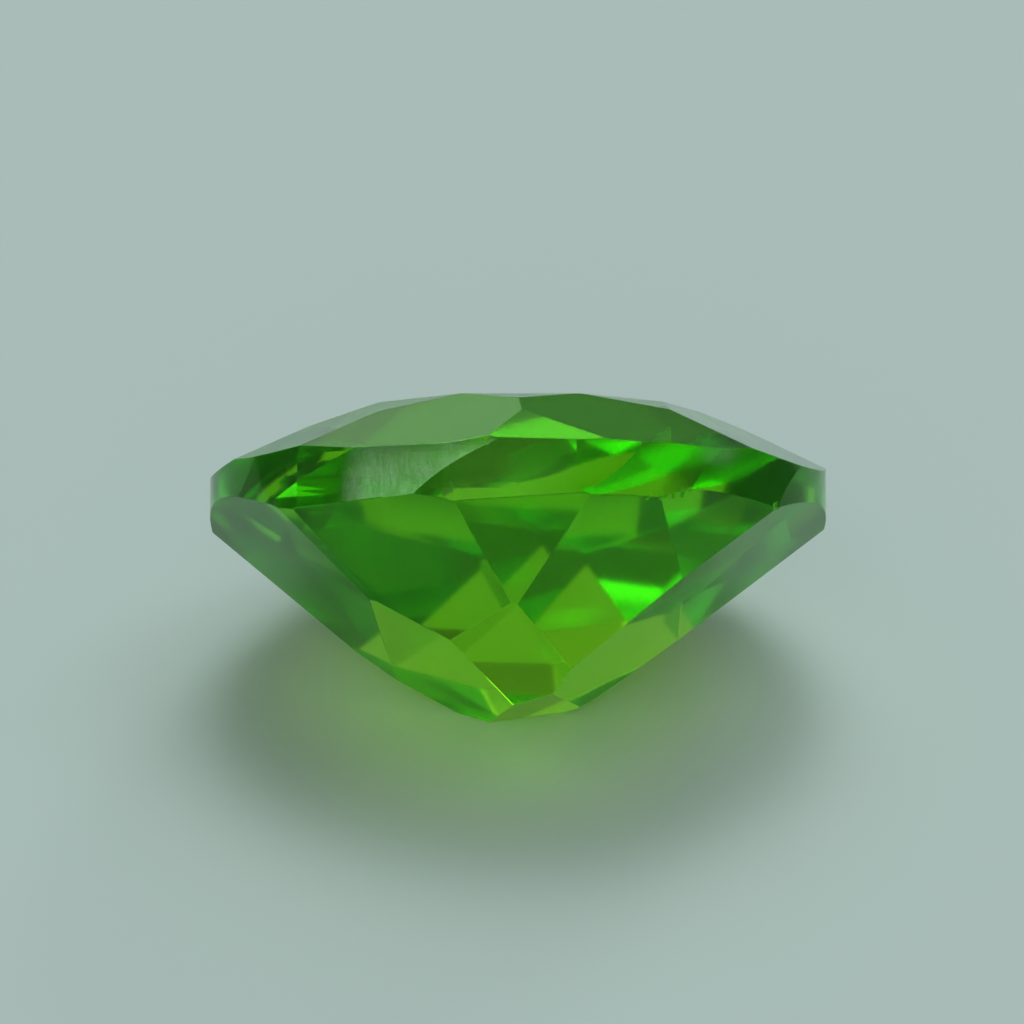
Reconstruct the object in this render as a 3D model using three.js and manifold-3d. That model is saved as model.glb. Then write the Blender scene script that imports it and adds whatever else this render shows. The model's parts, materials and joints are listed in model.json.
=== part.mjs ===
// An oval-cut peridot of about five carats: one transparent stone, polished all over.
//
// The stone is a convex solid, cut the way a lapidary cuts it. An oval preform is ground flat
// against a lap, one facet at a time, until the facets meet. Every facet is given by its index
// (the compass direction that it faces), its angle from the girdle plane and how far from the
// stone's axis it lies. The facets are a little uneven, as they are on a stone cut by eye.
//
// Units are millimetres. In the stone's own frame X runs along the oval, the front faces -Y, +Z
// goes up through the table, and the girdle's lower edge is at z = 0. The finished stone lies on
// one facet at the back of its pavilion, which leans the table away from the front.

import * as THREE from 'three';
import { mergeVertices } from 'three/addons/utils/BufferGeometryUtils.js';
import Module from 'manifold-3d';

// Driving dimensions
const LENGTH = 12.0; // along the oval
const WIDTH = 10.3; // across the oval
const GIRDLE = 1.03; // height of the girdle band
const CROWN = 1.15; // girdle to table
const PAVILION = 4.2; // girdle to the deepest point before the culet is taken off
const REST_ANGLE = 38.5; // angle of the facet that the stone lies on
const OVAL_SIDES = 96; // flats that stand for the girdle's smooth curve

const TABLE_HEIGHT = GIRDLE + CROWN;
const LAP = 40; // side of the block that stands for the lap, far larger than the stone

// Pavilion facets that reach the girdle. Each row is index, angle and reach: how far from the
// axis the facet crosses the girdle's lower edge.
const PAVILION_BREAKS = [
  [0, 51.5, 5.03],
  [37, 54, 5.31],
  [137.5, 53, 5.31],
  [180, 50.5, 5.05],
  [-137.5, 54, 5.48],
  [-45.5, 41.5, 5.66],
];
const PAVILION_MAINS = [
  [18.5, 45.5, 5.22],
  [73, 39, 5.66],
  [114.5, 39.5, 5.73],
  [156, 48.5, 5.19],
  [-156, 51.5, 4.91],
  [-113.5, 43, 5.83],
  [-70, 40.5, 5.55],
  [-25.5, 45.5, 5.11],
];

// Pavilion facets that run down to the culet. Each row is index, angle and depth: how far below
// the girdle's lower edge the facet would cross the stone's axis.
const CULET_FACETS = [
  [-13, 33, 4.17],
  [70, 35, 4.22],
  [126.5, 36, 4.5],
  [180, REST_ANGLE, 4.23],
  [-130, 37.5, 4.7],
  [-55, 31, 3.97],
  [61.5, 11, 3.71],
];

// Crown facets that reach the girdle: index, angle and reach at the girdle's upper edge.
const CROWN_FACETS = [
  [-23, 32, 4.97],
  [5, 40, 5.05],
  [20.5, 29, 5.23],
  [35.5, 32.5, 5.36],
  [66, 26.5, 5.54],
  [90, 28.5, 6.07],
  [113.5, 27, 5.97],
  [139.5, 34.5, 5.4],
  [160, 30.5, 5.25],
  [-175.5, 35, 5],
  [-157, 30.5, 4.83],
  [-137.5, 34.5, 5.33],
  [-112.5, 26.5, 5.47],
  [-84.5, 26, 5.61],
  [-54, 25, 5.6],
];

// Star facets around the table: index, angle and reach at the table's edge.
const STARS = [
  [0, 13, 2.94],
  [38.5, 16.5, 3.04],
  [90, 17, 3.55],
  [139.5, 18, 3.05],
  [180, 12.5, 3.23],
  [-139.5, 18, 3.04],
  [-88.5, 18, 2.71],
  [-40.5, 19, 2.94],
];

// Flats on the girdle, upright: index and reach.
const GIRDLE_FLATS = [
  [-26, 5.13],
  [0, 5.06],
  [153.5, 5.07],
  [180, 5.05],
  [-153.5, 5.15],
];

const radians = THREE.MathUtils.degToRad;
const wasm = await Module();
wasm.setup();

// A closed solid from a three.js geometry.
function solidFrom(geometry) {
  const bare = geometry.index ? geometry.toNonIndexed() : geometry.clone();
  bare.deleteAttribute('normal');
  bare.deleteAttribute('uv');
  const merged = mergeVertices(bare, 1e-5);
  const mesh = new wasm.Mesh({
    numProp: 3,
    vertProperties: new Float32Array(merged.attributes.position.array),
    triVerts: new Uint32Array(merged.index.array),
  });
  return new wasm.Manifold(mesh);
}

// The three.js geometry of a solid, with flat shading.
function geometryFrom(solid) {
  const mesh = solid.getMesh();
  const indexed = new THREE.BufferGeometry();
  indexed.setAttribute('position', new THREE.BufferAttribute(mesh.vertProperties, 3));
  indexed.setIndex(new THREE.BufferAttribute(mesh.triVerts, 1));
  const geometry = indexed.toNonIndexed();
  geometry.computeVertexNormals();
  return geometry;
}

// The oval blank: an upright elliptic block, tall enough for the table and the culet.
function preform() {
  const oval = new THREE.Shape();
  oval.absellipse(0, 0, LENGTH / 2, WIDTH / 2, 0, 2 * Math.PI);
  const block = new THREE.ExtrudeGeometry(oval, {
    depth: PAVILION + TABLE_HEIGHT,
    curveSegments: OVAL_SIDES,
    bevelEnabled: false,
  });
  block.translate(0, 0, -PAVILION);
  return solidFrom(block);
}

// The way out of the stone from a facet, as a unit vector. An angle of 90 is upright.
function facing(index, angle, side) {
  const turn = radians(index);
  const slope = radians(angle);
  return new THREE.Vector3(
    Math.sin(turn) * Math.sin(slope),
    -Math.cos(turn) * Math.sin(slope),
    side * Math.cos(slope),
  );
}

// The solid with everything ground away that lies past the facet's plane.
function grind(solid, normal, point) {
  const lap = new THREE.BoxGeometry(LAP, LAP, LAP);
  lap.translate(0, 0, LAP / 2);
  const turn = new THREE.Quaternion().setFromUnitVectors(new THREE.Vector3(0, 0, 1), normal);
  lap.applyQuaternion(turn);
  lap.translate(point.x, point.y, point.z);
  return solid.subtract(solidFrom(lap));
}

// Grinds a tier of facets that cross the given height at their reach from the axis.
function grindTier(solid, rows, side, height) {
  return rows.reduce((stone, [index, angle, reach]) => {
    const turn = radians(index);
    const point = new THREE.Vector3(reach * Math.sin(turn), -reach * Math.cos(turn), height);
    return grind(stone, facing(index, angle, side), point);
  }, solid);
}

// Grinds the facets that cross the stone's axis at their depth.
function grindCulet(solid) {
  return CULET_FACETS.reduce((stone, [index, angle, depth]) => {
    return grind(stone, facing(index, angle, -1), new THREE.Vector3(0, 0, -depth));
  }, solid);
}

function cutStone() {
  const flats = GIRDLE_FLATS.map(([index, reach]) => [index, 90, reach]);
  let stone = preform();
  stone = grindTier(stone, flats, 1, 0);
  stone = grindTier(stone, [...PAVILION_BREAKS, ...PAVILION_MAINS], -1, 0);
  stone = grindCulet(stone);
  stone = grindTier(stone, CROWN_FACETS, 1, GIRDLE);
  stone = grindTier(stone, STARS, 1, TABLE_HEIGHT);
  return geometryFrom(stone);
}

// Lays the stone on its resting facet, with the origin under the middle of its bounding box.
function layDown(mesh) {
  mesh.rotation.x = -radians(REST_ANGLE);
  mesh.updateMatrixWorld(true);
  const box = new THREE.Box3().setFromObject(mesh, true);
  const middle = box.getCenter(new THREE.Vector3());
  mesh.position.set(-middle.x, -middle.y, -box.min.z);
}

const olivine = new THREE.MeshStandardMaterial({ color: 0x6fae2c, roughness: 0.04, metalness: 0 });
const peridot = new THREE.Mesh(cutStone(), olivine);
peridot.name = 'peridot';
layDown(peridot);

const part = new THREE.Group();
part.add(peridot);

export default part;
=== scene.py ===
import json
import math
import random

import bmesh
import bpy
from mathutils import Matrix, Vector, noise


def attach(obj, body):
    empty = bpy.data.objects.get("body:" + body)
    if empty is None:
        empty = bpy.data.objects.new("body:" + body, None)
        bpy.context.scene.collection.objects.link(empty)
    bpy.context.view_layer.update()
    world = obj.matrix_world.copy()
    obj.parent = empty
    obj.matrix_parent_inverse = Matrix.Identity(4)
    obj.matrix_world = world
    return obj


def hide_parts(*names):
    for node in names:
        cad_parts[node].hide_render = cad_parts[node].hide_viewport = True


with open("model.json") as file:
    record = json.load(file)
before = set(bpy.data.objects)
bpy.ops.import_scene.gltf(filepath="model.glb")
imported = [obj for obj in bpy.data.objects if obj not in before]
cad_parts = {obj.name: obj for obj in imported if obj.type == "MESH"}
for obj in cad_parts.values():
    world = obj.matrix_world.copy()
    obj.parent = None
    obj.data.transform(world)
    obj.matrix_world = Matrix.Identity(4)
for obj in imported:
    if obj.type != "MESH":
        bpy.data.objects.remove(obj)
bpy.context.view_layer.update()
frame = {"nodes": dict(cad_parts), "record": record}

# The cut stone
# One crystal of gem olivine, see-through yellow-green. An oval blank is ground flat on a lap, one
# facet after another, until the facets meet, and every facet is then polished as bright as glass.
# Only the girdle was ground by hand: its faces twist, and one of them is still frosted.

# Lengths are in millimetres in the stone's own frame, and in metres once it lies in its place.
MM = 0.001
BLANK_SIDES = 384
# How much of the stone's length its width is measured on, away from the narrow ends.
MEASURED_LENGTH = 0.9
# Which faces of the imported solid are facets: faces that look the same way are one, and a small
# upright one is only a side of the oval blank.
SAME_FACET = math.radians(0.5)
UPRIGHT = 0.02
LEAST_FACET = 0.02 * MM * MM
WIDEST_BLANK_SIDE = 0.6 * MM * MM
# How near to a cut a corner counts as on it, and how near to each other two corners are one.
CUT_GAP = 1e-4
GRIND_GAP = 1e-5
CLOSE_CORNERS = 0.004
GIRDLE_HEIGHT = 1.03
TABLE_OVER_GIRDLE = 1.15
GIRDLE_BOTTOM = -TABLE_OVER_GIRDLE - GIRDLE_HEIGHT

cad_stone = frame["nodes"]["peridot"]
table_mount = next(m for m in frame["record"]["mounts"] if m["name"] == "table")
stone_axis = Vector(table_mount["axis"]).normalized()
table_centre = Vector(table_mount["pos_m"])


def stone_placement():
    """Where the stone lies. Its own frame has the table's centre at 0, and +Z out of the table."""
    along = Vector((1, 0, 0))
    back = stone_axis.cross(along)
    turned = Matrix((along, back, stone_axis)).transposed().to_4x4()
    return Matrix.Translation(table_centre) @ turned


placement = stone_placement()
to_stone = placement.inverted()


def ground_planes(mesh):
    """The plane of every facet, as its way out and a point on it, gathered from the solid's faces."""
    facets = []
    for face in sorted(mesh.polygons, key=lambda face: -face.area):
        for facet in facets:
            if facet["normal"].angle(face.normal, math.pi) < SAME_FACET:
                facet["area"] += face.area
                break
        else:
            facet = {"normal": face.normal.copy(), "point": face.center.copy(), "area": face.area}
            facets.append(facet)
    planes = []
    for facet in facets:
        upright = abs(facet["normal"].dot(stone_axis)) < UPRIGHT
        least = WIDEST_BLANK_SIDE if upright else LEAST_FACET
        if facet["area"] > least:
            way_out = to_stone.to_3x3() @ facet["normal"]
            planes.append((way_out, (to_stone @ facet["point"]) / MM))
    return planes


def oval_blank(mesh):
    """The oval block before grinding, in millimetres in the stone's own frame, with a smooth side."""
    outline = [(to_stone @ vertex.co) / MM for vertex in mesh.vertices]
    half_length = max(point.x for point in outline)
    sides = [p for p in outline if abs(p.x) < MEASURED_LENGTH * half_length]
    half_width = max(abs(p.y) / math.sqrt(1 - (p.x / half_length) ** 2) for p in sides)
    top = max(point.z for point in outline)
    bottom = min(point.z for point in outline)
    blank = bmesh.new()
    rings = []
    for height in (bottom, top):
        ring = []
        for side in range(BLANK_SIDES):
            turn = 2 * math.pi * side / BLANK_SIDES
            place = (half_length * math.cos(turn), half_width * math.sin(turn), height)
            ring.append(blank.verts.new(place))
        rings.append(ring)
    low, high = rings
    for side in range(BLANK_SIDES):
        after = (side + 1) % BLANK_SIDES
        blank.faces.new((low[side], low[after], high[after], high[side]))
    blank.faces.new(list(reversed(low)))
    blank.faces.new(high)
    return blank


def once_each(parts):
    """The parts in the order in which they first come, which is the same in every run."""
    return list(dict.fromkeys(parts))


def parts_of(faces):
    """The faces with their edges and corners."""
    edges = once_each(edge for face in faces for edge in face.edges)
    corners = once_each(corner for face in faces for corner in face.verts)
    return corners + edges + list(faces)


def cut_along(stone, faces, point, across):
    """Cuts some faces in two where the plane crosses them."""
    bmesh.ops.bisect_plane(stone, geom=parts_of(faces), dist=CUT_GAP, plane_co=point, plane_no=across)


def grind(stone, way_out, point):
    """Takes off everything past the facet's plane, and closes the stone with the new facet."""
    bmesh.ops.bisect_plane(
        stone,
        geom=parts_of(stone.faces),
        dist=GRIND_GAP,
        plane_co=point,
        plane_no=way_out,
        clear_outer=True,
    )
    rim = [edge for edge in stone.edges if edge.is_boundary]
    bmesh.ops.edgeloop_fill(stone, edges=rim)


def cut_facets():
    """The stone with all of its facets ground flat."""
    stone = oval_blank(cad_stone.data)
    for way_out, point in ground_planes(cad_stone.data):
        grind(stone, way_out, point)
    bmesh.ops.remove_doubles(stone, verts=stone.verts, dist=CLOSE_CORNERS)
    bmesh.ops.recalc_face_normals(stone, faces=stone.faces)
    return stone


# Where one hand-ground face of the girdle meets the next, across the front: the place along the
# stone on the girdle's lower edge, half-way up and on the upper edge.
TWISTS = [
    (-5.59, -5.27, -5.08),
    (-4.8, -4.02, -3.02),
    (-2.03, -1.36, -0.4),
    (1.28, 1.97, 2.39),
    (3.25, 3.55, 4.0),
    (5.03, 5.25, 5.62),
]
# How flat those faces are, from 0 as round as the oval to 1 quite flat.
FLATNESS = 0.55
# The front of the girdle: how fine its grid is, how far it reaches to the left and right, and how
# upright its faces are.
GIRDLE_GRID = 0.1
GIRDLE_REACH = 5.8
GIRDLE_UPRIGHT = 0.01
# How far from a cut the middle of a face may be that it crosses, before and after there is a grid.
WIDE_FACE = 0.9
NARROW_FACE = 0.4


def twist_place(row, up):
    """Where a meeting line is along the stone, at a height on the girdle from 0 to 1."""
    low, middle, high = row
    return low + (4 * middle - 3 * low - high) * up + 2 * (low + high - 2 * middle) * up * up


def front_girdle(stone):
    """The girdle's faces across the front."""
    faces = []
    for face in stone.faces:
        middle = face.calc_center_median()
        if abs(face.normal.z) < GIRDLE_UPRIGHT and middle.y < 0 and abs(middle.x) < GIRDLE_REACH:
            faces.append(face)
    return faces


def girdle_up(point):
    """A point's height on the girdle, from 0 on the lower edge to 1 on the upper one."""
    return (point.z + TABLE_OVER_GIRDLE + GIRDLE_HEIGHT) / GIRDLE_HEIGHT


def divide_girdle(stone):
    """Cuts the front of the girdle into a fine grid, and along the lines where its faces meet."""
    rows = round(GIRDLE_HEIGHT / GIRDLE_GRID)
    for row in range(1, rows):
        height = GIRDLE_BOTTOM + GIRDLE_HEIGHT * row / rows
        cut_along(stone, front_girdle(stone), (0, 0, height), (0, 0, 1))
    columns = round(2 * GIRDLE_REACH / GIRDLE_GRID)
    for column in range(1, columns):
        place = -GIRDLE_REACH + GIRDLE_GRID * column
        near = [f for f in front_girdle(stone) if abs(f.calc_center_median().x - place) < WIDE_FACE]
        cut_along(stone, near, (place, 0, 0), (1, 0, 0))
    for twist in TWISTS:
        for row in range(rows):
            low, high = row / rows, (row + 1) / rows
            start = Vector((twist_place(twist, low), 0, GIRDLE_BOTTOM + GIRDLE_HEIGHT * low))
            end = Vector((twist_place(twist, high), 0, GIRDLE_BOTTOM + GIRDLE_HEIGHT * high))
            across = (end - start).cross(Vector((0, 1, 0)))
            near = []
            for face in front_girdle(stone):
                middle = face.calc_center_median()
                beside = abs(middle.x - (start.x + end.x) / 2) < NARROW_FACE
                if beside and low < girdle_up(middle) < high:
                    near.append(face)
            cut_along(stone, near, start, across)


def girdle_outline(stone):
    """The front of the girdle seen along the stone's axis: its corners from left to right."""
    corners = [corner.co for face in front_girdle(stone) for corner in face.verts]
    return sorted({(round(place.x, 5), round(place.y, 5)) for place in corners})


def outline_at(outline, place):
    """How far forward the outline is at a place along the stone."""
    for (x0, y0), (x1, y1) in zip(outline, outline[1:]):
        if x0 <= place <= x1 and x1 > x0:
            return y0 + (y1 - y0) * (place - x0) / (x1 - x0)
    return outline[0][1] if place < outline[0][0] else outline[-1][1]


def ground_depth(point, outline):
    """How far in the hand-ground faces lie from the even outline, at a point on the girdle."""
    up = min(1, max(0, girdle_up(point)))
    places = [twist_place(twist, up) for twist in TWISTS]
    for left, right in zip(places, places[1:]):
        if left < point.x < right:
            y0 = outline_at(outline, left)
            y1 = outline_at(outline, right)
            chord = y0 + (y1 - y0) * (point.x - left) / (right - left)
            return FLATNESS * max(0, chord - outline_at(outline, point.x))
    return 0


# Facets that lean less than this from each other, in radians, are one. A corner between two facets
# slides along their edge, if enough of that way goes inward, and at most a few times as far as the
# ground face is deep. Its place on the way is found by halving.
SAME_SIDE = 0.02
LEAST_INWARD = 0.2
FARTHEST_SLIDE = 3
SLIDE_STEPS = 12


def slide(corner, band):
    """The way that a corner of the girdle's edge moves, so that the facets beside it stay flat."""
    sides = []
    for face in corner.link_faces:
        if face not in band and all(face.normal.angle(side) > SAME_SIDE for side in sides):
            sides.append(face.normal.copy())
    if not sides:
        return Vector((0, 1, 0))
    if any(abs(side.z) < GIRDLE_UPRIGHT for side in sides):
        return Vector((0, 0, 0))
    if len(sides) == 1:
        return Vector((0, 1, -sides[0].y / sides[0].z))
    if len(sides) == 2:
        way = sides[0].cross(sides[1])
        if abs(way.y) > LEAST_INWARD * way.length:
            return way / way.y
    return Vector((0, 0, 0))


def ground_move(corner, way, outline):
    """How far a corner slides before it meets the hand-ground face."""
    depth = ground_depth(corner.co, outline)
    if way.x == 0:
        return way * depth
    least, most = 0, FARTHEST_SLIDE * depth
    for _ in range(SLIDE_STEPS):
        middle = (least + most) / 2
        place = corner.co + way * middle
        if place.y < outline_at(outline, place.x) + ground_depth(place, outline):
            least = middle
        else:
            most = middle
    return way * most


# How far sideways a corner slides before it counts, how near the others are that it gathers, and
# how near to each other two corners are one afterwards.
SIDEWAYS = 0.001
PASSED = 0.01
SAME_CORNER = 0.002


def keep_in_order(moves, band):
    """Gathers the edge's corners that a sliding corner passes, so that the edge doesn't fold."""
    edge = [corner for corner in moves if any(face not in band for face in corner.link_faces)]
    for meeting in [corner for corner in edge if abs(moves[corner].x) > SIDEWAYS]:
        goal = meeting.co + moves[meeting]
        first, last = sorted((meeting.co.x, goal.x))
        for corner in edge:
            same_edge = (girdle_up(corner.co) > 0.5) == (girdle_up(meeting.co) > 0.5)
            if same_edge and first - PASSED < corner.co.x < last + PASSED:
                moves[corner] = goal - corner.co


def twist_girdle(stone):
    """Grinds the twisted faces of the girdle, which lie a little further in than its even outline."""
    outline = girdle_outline(stone)
    faces = front_girdle(stone)
    band = set(faces)
    corners = once_each(corner for face in faces for corner in face.verts)
    moves = {corner: ground_move(corner, slide(corner, band), outline) for corner in corners}
    keep_in_order(moves, band)
    for corner, move in moves.items():
        corner.co += move
    bmesh.ops.triangulate(stone, faces=faces)
    bmesh.ops.remove_doubles(stone, verts=corners, dist=SAME_CORNER)


# How much of an edge has worn off, and how sharp an edge is that wears.
EDGE_WEAR = 0.008
WORN_EDGE = math.radians(4)


def on_front_girdle(point):
    """Whether a point is on the front of the girdle."""
    return point.y < 0 and 0 < girdle_up(point) < 1 and abs(point.x) < GIRDLE_REACH


def inside_girdle(edge):
    """Whether an edge lies within the front of the girdle, away from its two rims."""
    return all(on_front_girdle(face.calc_center_median()) for face in edge.link_faces)


def wear_edges(stone):
    """The facet edges have lost a hair of their sharpness."""
    edges = [e for e in stone.edges if e.calc_face_angle(0) > WORN_EDGE and not inside_girdle(e)]
    bmesh.ops.bevel(
        stone,
        geom=edges,
        offset=EDGE_WEAR,
        segments=1,
        profile=0.5,
        affect="EDGES",
        clamp_overlap=False,
    )


def built_afresh(stone):
    """The same stone in a new mesh, where edges come in an order that is the same in every run."""
    fresh = bmesh.new()
    corners = {corner: fresh.verts.new(corner.co) for corner in stone.verts}
    for face in stone.faces:
        fresh.faces.new([corners[corner] for corner in face.verts])
    fresh.normal_update()
    stone.free()
    return fresh


# Tiny pits along the girdle's lower edge: where the row starts and ends along the stone, how many
# there are and how large, and then the place and size of one larger chip.
PIT_ROW = (2.42, 3.42)
PIT_COUNT = 13
PIT_SIZES = (0.025, 0.05)
CHIP = (5.03, 0.09)
# As shares of a pit's size: how deep it is, how rough inside, how far below or above the edge its
# middle may be, and how wide a patch is divided finely for it, into cells on either side.
PIT_DEPTH = 0.7
PIT_ROUGHNESS = 0.5
PIT_SHIFT = (-0.5, 0.3)
PIT_PATCH = 1.1
PIT_CELLS = 3
PIT_GRAIN = 40
# How the edge is found: in front, near the place, where the faces are nearly upright.
FRONT = -2
NEAR_PLACE = 0.07
LEANING = 0.2
NEAR_PIT = 0.11


def edge_point(stone, place):
    """The lowest corner of the front girdle's upright faces near a place along the stone."""
    front = [v for v in stone.verts if v.co.y < FRONT and abs(v.co.x - place) < NEAR_PLACE]
    low = [v for v in front if girdle_up(v.co) < 0.5]
    upright = [v for v in low if any(abs(face.normal.z) < LEANING for face in v.link_faces)]
    return min(upright, key=lambda corner: corner.co.z).co.copy()


def faces_near(stone, middle, reach):
    """The faces with a corner near a point, in the stone's own order."""
    corners = [v for v in stone.verts if (v.co - middle).length < reach]
    stone.faces.index_update()
    return sorted({face for v in corners for face in v.link_faces}, key=lambda face: face.index)


def pit_edge(stone):
    """Knocks the pits and the chip out of the edge."""
    draw = random.Random(5)
    pits = [(draw.uniform(*PIT_ROW), draw.uniform(*PIT_SIZES)) for _ in range(PIT_COUNT)]
    for place, size in pits + [CHIP]:
        middle = edge_point(stone, place) + Vector((0, 0, draw.uniform(*PIT_SHIFT) * size))
        for step in range(-PIT_CELLS, PIT_CELLS + 1):
            for way in (Vector((0, 0, 1)), Vector((1, 0, 0))):
                near = faces_near(stone, middle, size + NEAR_PIT)
                cut_along(stone, near, middle + way * (PIT_PATCH * size * step / PIT_CELLS), way)
        for corner in stone.verts:
            gap = (corner.co - middle).length / size
            if gap < 1:
                rough = 1 + PIT_ROUGHNESS * noise.noise(corner.co * PIT_GRAIN)
                corner.co.y += PIT_DEPTH * size * (1 - gap * gap) * rough
        bmesh.ops.triangulate(stone, faces=faces_near(stone, middle, size))


# Where the girdle is frosted instead of polished. Each row is the place along the stone where the
# frost starts, where it is full, where it ends and over how much it fades there, then the same up
# the girdle from 0 to 1, and how strong it is.
FROST = [
    ((-3.5, -2.9, -0.3, 0.01), (-0.2, -0.1, 1.3, 1.1), 1.0),
    ((3.1, 3.7, 4.5, 0.5), (0.3, 0.8, 1.3, 0.4), 0.25),
]
# The frost on the left ends sharply where its hand-ground face meets the next one.
FROST_TWIST = TWISTS[2]
RIM_MARGIN = 0.01


def fade(start, full, end, over, place):
    """1 inside a stretch, and 0 outside it, with soft ends."""
    rise = min(1, max(0, (place - start) / (full - start)))
    fall = min(1, max(0, (end - place) / over))
    return rise * fall


def frost_at(corner, middle):
    """How frosted a face is at one of its corners, from the corner and the face's middle."""
    up = girdle_up(middle)
    if not -RIM_MARGIN < up < 1 + RIM_MARGIN or middle.y > 0:
        return 0
    strongest = 0
    for along, height, strength in FROST:
        left_of_twist = along[0] < FROST_TWIST[0]
        if left_of_twist and middle.x > twist_place(FROST_TWIST, up):
            continue
        frost = strength * fade(*along, corner.x) * fade(*height, girdle_up(corner))
        strongest = max(strongest, frost)
    return strongest


def mark_frost(mesh):
    """Stores for every corner of every face how frosted it is."""
    frost = mesh.attributes.new("frost", "FLOAT", "CORNER")
    for face in mesh.polygons:
        for loop in face.loop_indices:
            corner = mesh.vertices[mesh.loops[loop].vertex_index].co
            frost.data[loop].value = frost_at(corner, face.center)


# Faces that meet at less than this angle look like one smooth face.
SMOOTH_UNDER = math.radians(3.5)


def cut_stone():
    """The whole stone as a mesh, in metres and in its place."""
    stone = cut_facets()
    divide_girdle(stone)
    twist_girdle(stone)
    wear_edges(stone)
    stone = built_afresh(stone)
    pit_edge(stone)
    for face in stone.faces:
        face.smooth = True
    for edge in stone.edges:
        edge.smooth = edge.calc_face_angle(0) < SMOOTH_UNDER
    mesh = bpy.data.meshes.new("peridot_stone")
    stone.to_mesh(mesh)
    stone.free()
    mark_frost(mesh)
    mesh.transform(placement @ Matrix.Scale(MM, 4))
    return mesh


# The stone's green is purer than a screen can show, so that next to it the reflections lose their
# blue. Their colour stands for that.
OLIVINE_IOR = 1.67
OLIVINE_COLOUR = (0.68, 0.93, 0.0, 1)
OLIVINE_DENSITY = 600
REFLECTION_COLOUR = (0.5, 0.9, 0.2, 1)
POLISH_ROUGHNESS = 0.1


def clear_olivine(surface, nodes, links):
    """Polished stone that is clear, and green by the depth of stone that light goes through."""
    surface.inputs["IOR"].default_value = OLIVINE_IOR
    surface.inputs["Transmission Weight"].default_value = 1
    surface.inputs["Specular Tint"].default_value = REFLECTION_COLOUR
    depth = nodes.new("ShaderNodeVolumeAbsorption")
    depth.inputs["Color"].default_value = OLIVINE_COLOUR
    depth.inputs["Density"].default_value = OLIVINE_DENSITY
    links.new(depth.outputs["Volume"], nodes["Material Output"].inputs["Volume"])


# The frost: how rough and how white it is where it is full, its fine patches, and the scratches
# that run down the girdle in it. A grain is how many of its spots go into a metre.
FROST_ROUGHNESS = 0.7
FROST_COLOUR = (0.5, 1.0, 0.42, 1)
FROST_START = 0.1
PATCH_GRAIN = 25000
PATCH_EDGE = (0.35, 0.6)
PATCH_LEAST = 0.7
SCRATCH_GRAIN = (12000, 4000, 3000)
SCRATCH_EDGE = (0.3, 0.7)
SCRATCH_WHITE = (0.5, 1)
SCRATCH_RELIEF = 0.4
SCRATCH_DEPTH = 0.01 * MM


def map_range(nodes, given, result):
    """A node that turns one range of values into another."""
    node = nodes.new("ShaderNodeMapRange")
    node.inputs["From Min"].default_value, node.inputs["From Max"].default_value = given
    node.inputs["To Min"].default_value, node.inputs["To Max"].default_value = result
    return node


def times(nodes, links, value):
    """A node that multiplies a value."""
    node = nodes.new("ShaderNodeMath")
    node.operation = "MULTIPLY"
    links.new(value, node.inputs[0])
    return node


def frost_patches(place, nodes, links):
    """How full the frost is from spot to spot."""
    grain = nodes.new("ShaderNodeTexNoise")
    grain.inputs["Scale"].default_value = PATCH_GRAIN
    grain.inputs["Detail"].default_value = 4
    links.new(place, grain.inputs["Vector"])
    patches = map_range(nodes, PATCH_EDGE, (PATCH_LEAST, 1))
    links.new(grain.outputs["Fac"], patches.inputs["Value"])
    return patches.outputs["Result"]


def frost_scratches(place, nodes, links):
    """Fine scratches, drawn out along their length."""
    stretched = nodes.new("ShaderNodeVectorMath")
    stretched.operation = "MULTIPLY"
    stretched.inputs[1].default_value = SCRATCH_GRAIN
    links.new(place, stretched.inputs[0])
    scratches = nodes.new("ShaderNodeTexNoise")
    scratches.inputs["Scale"].default_value = 1
    scratches.inputs["Detail"].default_value = 3
    links.new(stretched.outputs["Vector"], scratches.inputs["Vector"])
    return scratches.outputs["Fac"]


def frost_colour(frost, surface, nodes, links):
    """The ground stone's own pale green, where it is frosted."""
    colour = nodes.new("ShaderNodeMix")
    colour.data_type = "RGBA"
    colour.inputs["A"].default_value = (1, 1, 1, 1)
    colour.inputs["B"].default_value = FROST_COLOUR
    links.new(frost, colour.inputs["Factor"])
    links.new(colour.outputs["Result"], surface.inputs["Base Color"])


def frost_white(frost, scratches, surface, nodes, links):
    """The frost sends light back instead of letting it in, and most of all along the scratches."""
    streaks = map_range(nodes, SCRATCH_EDGE, SCRATCH_WHITE)
    links.new(scratches, streaks.inputs["Value"])
    white = map_range(nodes, (FROST_START, 1), (0, 1))
    links.new(frost, white.inputs["Value"])
    links.new(streaks.outputs["Result"], white.inputs["To Max"])
    links.new(white.outputs["Result"], surface.inputs["Metallic"])


def frost_relief(frost, scratches, surface, nodes, links):
    """The scratches' relief."""
    bump = nodes.new("ShaderNodeBump")
    bump.inputs["Distance"].default_value = SCRATCH_DEPTH
    relief = times(nodes, links, frost)
    relief.inputs[1].default_value = SCRATCH_RELIEF
    links.new(relief.outputs["Value"], bump.inputs["Strength"])
    links.new(scratches, bump.inputs["Height"])
    links.new(bump.outputs["Normal"], surface.inputs["Normal"])


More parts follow.
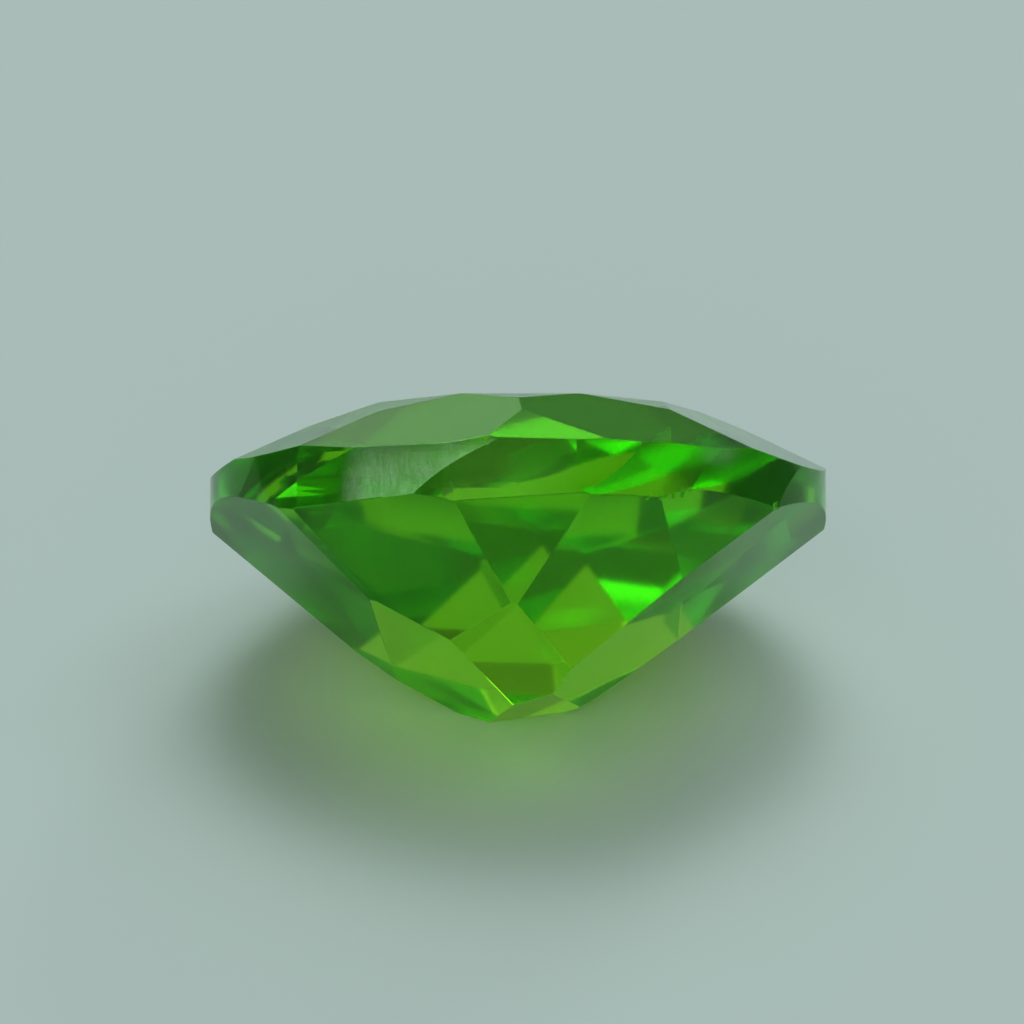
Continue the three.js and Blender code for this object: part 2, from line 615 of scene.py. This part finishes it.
def gem_olivine():
    """Polished olivine, with the frost where the mesh says that there is some."""
    material = bpy.data.materials.new("gem_olivine")
    material.use_nodes = True
    nodes = material.node_tree.nodes
    links = material.node_tree.links
    surface = nodes["Principled BSDF"]
    clear_olivine(surface, nodes, links)
    place = nodes.new("ShaderNodeTexCoord").outputs["Object"]
    attribute = nodes.new("ShaderNodeAttribute")
    attribute.attribute_name = "frost"
    frost = attribute.outputs["Fac"]
    scratches = frost_scratches(place, nodes, links)
    patchy = times(nodes, links, frost)
    links.new(frost_patches(place, nodes, links), patchy.inputs[1])
    roughness = map_range(nodes, (0, 1), (POLISH_ROUGHNESS, FROST_ROUGHNESS))
    links.new(frost, roughness.inputs["Value"])
    links.new(roughness.outputs["Result"], surface.inputs["Roughness"])
    frost_colour(frost, surface, nodes, links)
    frost_white(patchy.outputs["Value"], scratches, surface, nodes, links)
    frost_relief(frost, scratches, surface, nodes, links)
    return material


stone = bpy.data.objects.new("peridot_stone", cut_stone())
bpy.context.scene.collection.objects.link(stone)
stone.data.materials.append(gem_olivine())
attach(stone, "root")
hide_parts("peridot")

# The surface that it lies on
# A plain, pale, matt surface, with a hair of air under the facet that the stone lies on.

FLOOR_SIZE = 8.0
FLOOR_COLOUR = (0.50, 0.59, 0.58, 1)
FLOOR_ROUGHNESS = 0.9
FLOOR_SHINE = 0.1
AIR_GAP = 0.02 * MM


def floor():
    """The surface, wide enough to fill the view from every side."""
    bpy.ops.mesh.primitive_plane_add(size=FLOOR_SIZE, location=(0, 0, -AIR_GAP))
    plane = bpy.context.object
    plane.name = "floor"
    material = bpy.data.materials.new("pale_surface")
    material.use_nodes = True
    surface = material.node_tree.nodes["Principled BSDF"]
    surface.inputs["Base Color"].default_value = FLOOR_COLOUR
    surface.inputs["Roughness"].default_value = FLOOR_ROUGHNESS
    surface.inputs["Specular IOR Level"].default_value = FLOOR_SHINE
    plane.data.materials.append(material)


floor()

# The light
# A dim grey room with a large soft lamp above the stone, a little behind it, and weaker soft lights
# on the right, low down behind the stone and in front of it. The edges of all of them fade.

# Each row is where the light is, round the stone from 0 in front over 90 on the right to 180
# behind, how high it is over the floor and how wide, all in degrees, and how bright it is.
SOFT_LIGHTS = [
    (178, 58, 13, 9.5),
    (110, 60, 16, 2.0),
    (157, 25, 7, 8.0),
    (208, 9, 12, 1.8),
    (186, 11, 7, 0.6),
    (345, 41, 14, 0.8),
    (0, 20, 30, 0.5),
]
# How bright the room is, from the height of the surface at 0 to straight above at 1.
ROOM_BY_HEIGHT = [(0.0, 0.12), (0.5, 0.24), (0.87, 0.15), (1.0, 0.1)]
ROOM_COLOUR = (0.93, 1.0, 0.97)


def room_light(nodes, links, way):
    """How bright the room is, by the height of the direction."""
    height = nodes.new("ShaderNodeSeparateXYZ")
    links.new(way, height.inputs["Vector"])
    room = nodes.new("ShaderNodeValToRGB")
    ramp = room.color_ramp
    for place, _ in ROOM_BY_HEIGHT[1:-1]:
        ramp.elements.new(place)
    for element, (_, bright) in zip(ramp.elements, ROOM_BY_HEIGHT):
        element.color = (bright, bright, bright, 1)
    links.new(height.outputs["Z"], room.inputs["Fac"])
    return room.outputs["Color"]


def soft_light(nodes, links, way, row):
    """One soft light: brightest in its middle, and fading away from it."""
    turn, height, spread = (math.radians(angle) for angle in row[:3])
    bright = row[3]
    level = math.cos(height)
    near = nodes.new("ShaderNodeVectorMath")
    near.operation = "DOT_PRODUCT"
    near.inputs[1].default_value = (math.sin(turn) * level, -math.cos(turn) * level, math.sin(height))
    links.new(way, near.inputs[0])
    steep = 1 / (1 - math.cos(spread))
    falling = nodes.new("ShaderNodeMath")
    falling.operation = "MULTIPLY_ADD"
    falling.inputs[1].default_value = steep
    falling.inputs[2].default_value = math.log(bright) - steep
    links.new(near.outputs["Value"], falling.inputs[0])
    light = nodes.new("ShaderNodeMath")
    light.operation = "EXPONENT"
    links.new(falling.outputs["Value"], light.inputs[0])
    return light.outputs["Value"]


def sky():
    """The room and its soft lights, all round the stone."""
    world = bpy.data.worlds.new("studio")
    bpy.context.scene.world = world
    world.use_nodes = True
    nodes = world.node_tree.nodes
    links = world.node_tree.links
    way = nodes.new("ShaderNodeTexCoord").outputs["Generated"]
    total = room_light(nodes, links, way)
    for row in SOFT_LIGHTS:
        both = nodes.new("ShaderNodeMath")
        links.new(total, both.inputs[0])
        links.new(soft_light(nodes, links, way, row), both.inputs[1])
        total = both.outputs["Value"]
    tinted = nodes.new("ShaderNodeVectorMath")
    tinted.operation = "SCALE"
    tinted.inputs[0].default_value = ROOM_COLOUR
    links.new(total, tinted.inputs["Scale"])
    links.new(tinted.outputs["Vector"], nodes["Background"].inputs["Color"])


sky()

# Light goes back and forth inside the stone many times before it comes out.
cycles = bpy.context.scene.cycles
cycles.max_bounces = 20
cycles.glossy_bounces = 16
cycles.transmission_bounces = 16
bpy.context.scene.view_settings.view_transform = "Standard"

# The camera
# It looks at the front of the pavilion from a little below the girdle, from far off, so that the
# stone shows with hardly any perspective.

PICTURE = 1024
PIXELS_PER_MM = 51.333
STONE_ORIGIN_PIXEL = (518, 523)
# The view's angle is in degrees, and the lens and its sensor are in millimetres.
VIEW_BELOW_GIRDLE = 6.68
LENS = 500
SENSOR = 36
# How high the table is over the girdle's lower plane.
TABLE_HEIGHT = (TABLE_OVER_GIRDLE + GIRDLE_HEIGHT) * MM


def camera():
    """The camera, with the middle of the girdle's lower plane at its place in the picture."""
    lens = bpy.data.cameras.new("camera")
    lens.lens = LENS
    lens.sensor_width = SENSOR
    eye = bpy.data.objects.new("camera", lens)
    bpy.context.scene.collection.objects.link(eye)
    lean = math.atan2(stone_axis.y, stone_axis.z)
    height = lean - math.radians(VIEW_BELOW_GIRDLE)
    back = Vector((0, -math.cos(height), math.sin(height)))
    up = Vector((0, math.sin(height), math.cos(height)))
    pixel = MM / PIXELS_PER_MM
    origin = table_centre - stone_axis * TABLE_HEIGHT
    right_of = (PICTURE / 2 - STONE_ORIGIN_PIXEL[0]) * pixel
    above = (STONE_ORIGIN_PIXEL[1] - PICTURE / 2) * pixel
    target = origin + Vector((1, 0, 0)) * right_of + up * above
    distance = PICTURE * pixel * LENS / SENSOR
    eye.location = target + back * distance
    eye.rotation_mode = "QUATERNION"
    eye.rotation_quaternion = (-back).to_track_quat("-Z", "Y")
    lens.clip_start = distance / 10
    lens.clip_end = distance * 10
    bpy.context.scene.camera = eye


camera()
